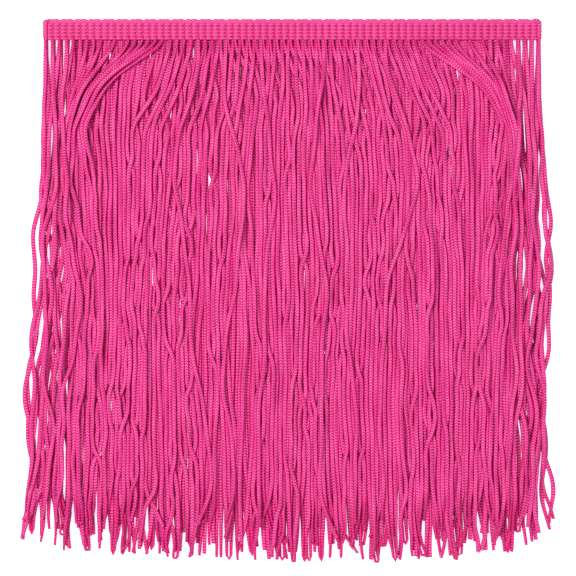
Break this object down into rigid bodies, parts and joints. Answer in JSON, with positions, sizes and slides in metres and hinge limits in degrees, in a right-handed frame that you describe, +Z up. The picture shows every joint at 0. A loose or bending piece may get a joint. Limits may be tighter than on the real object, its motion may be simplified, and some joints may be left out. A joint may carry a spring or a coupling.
{
  "type": "chainette fringe trim",
  "caption": "Cut length of deep fringe in knitted chain cord hanging from a ribbed knitted heading, lying flat and face up.",
  "frame": {"origin": "middle of the heading's flat underside, on the surface that the trim lies on", "axes": "+X along the heading, +Y from the fringe to the heading, +Z up from the surface, out of the face of the trim"},
  "size_m": [0.2242, 0.2291, 0.0072],
  "materials": {
    "heading_knit": "satin knitted viscose braid",
    "chainette": "satin knitted viscose chain cord"
  },
  "bodies": {
    "root": {"heading": "heading_knit", "fringe_back": "chainette", "fringe_front": "chainette"}
  },
  "joints": []
}
